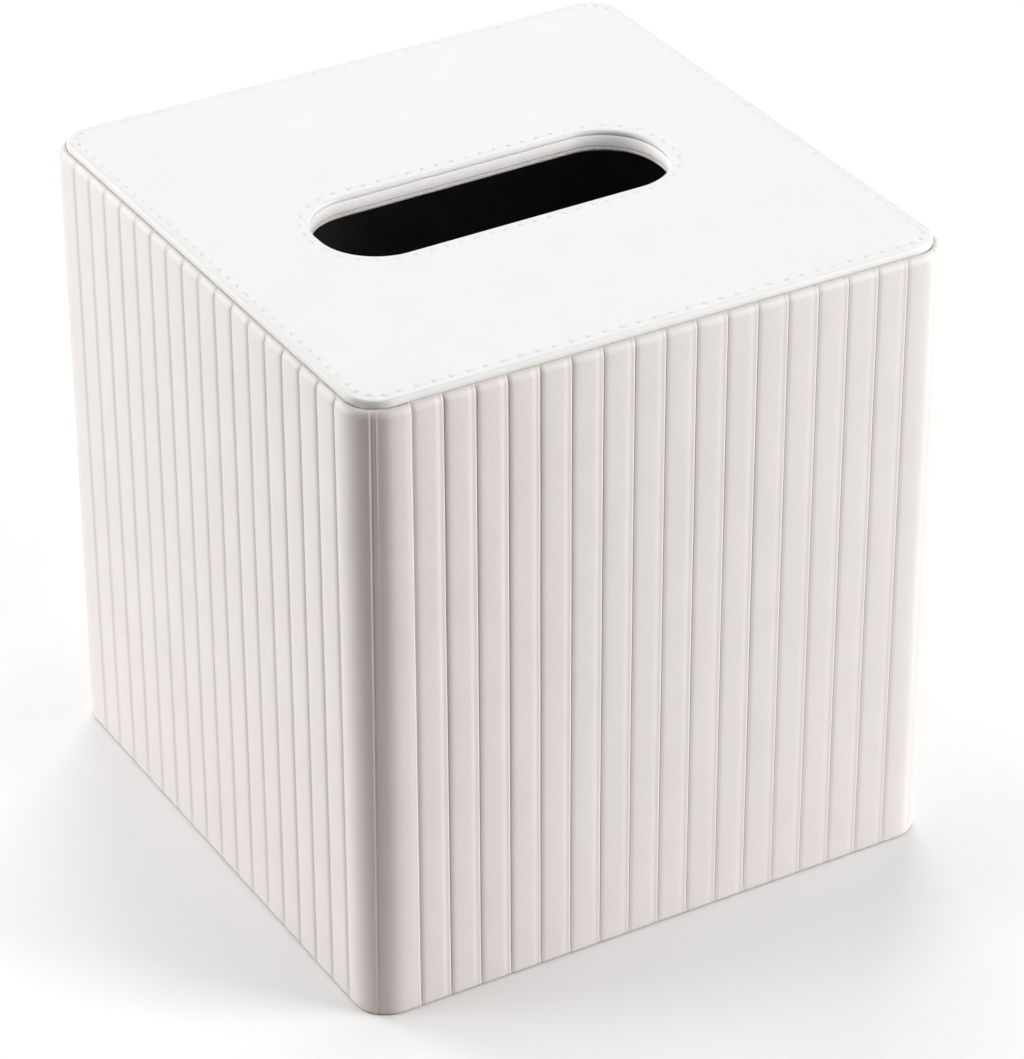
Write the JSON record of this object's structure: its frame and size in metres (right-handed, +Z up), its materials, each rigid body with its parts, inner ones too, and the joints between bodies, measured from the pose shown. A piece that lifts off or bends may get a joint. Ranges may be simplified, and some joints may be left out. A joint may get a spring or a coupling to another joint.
{
  "type": "tissue box cover",
  "caption": "Square slip-over tissue box cover with ribbed padded leather-look sides, a stitched flat top with a long rounded slot, and an open base.",
  "frame": {"origin": "middle of the base, on the surface that the cover stands on", "axes": "+Z up, +X along the slot, -Y towards the front side"},
  "size_m": [0.135, 0.135, 0.142],
  "materials": {
    "ribbed_leather": "satin, fine grain, heat-pressed ribs",
    "smooth_leather": "satin, very fine grain",
    "band_leather": "matte",
    "board": "raw grey board",
    "card_edge": "raw card",
    "lining": "matte black"
  },
  "bodies": {
    "root": {"side_wrap": "ribbed_leather", "front_board": "board", "back_board": "board", "left_board": "board", "right_board": "board", "top_board": "board", "slot_band": "band_leather", "top_card": "board", "top_leather": "smooth_leather", "ceiling_card": "card_edge", "top_lining": "lining", "wall_lining": "lining"}
  },
  "joints": []
}
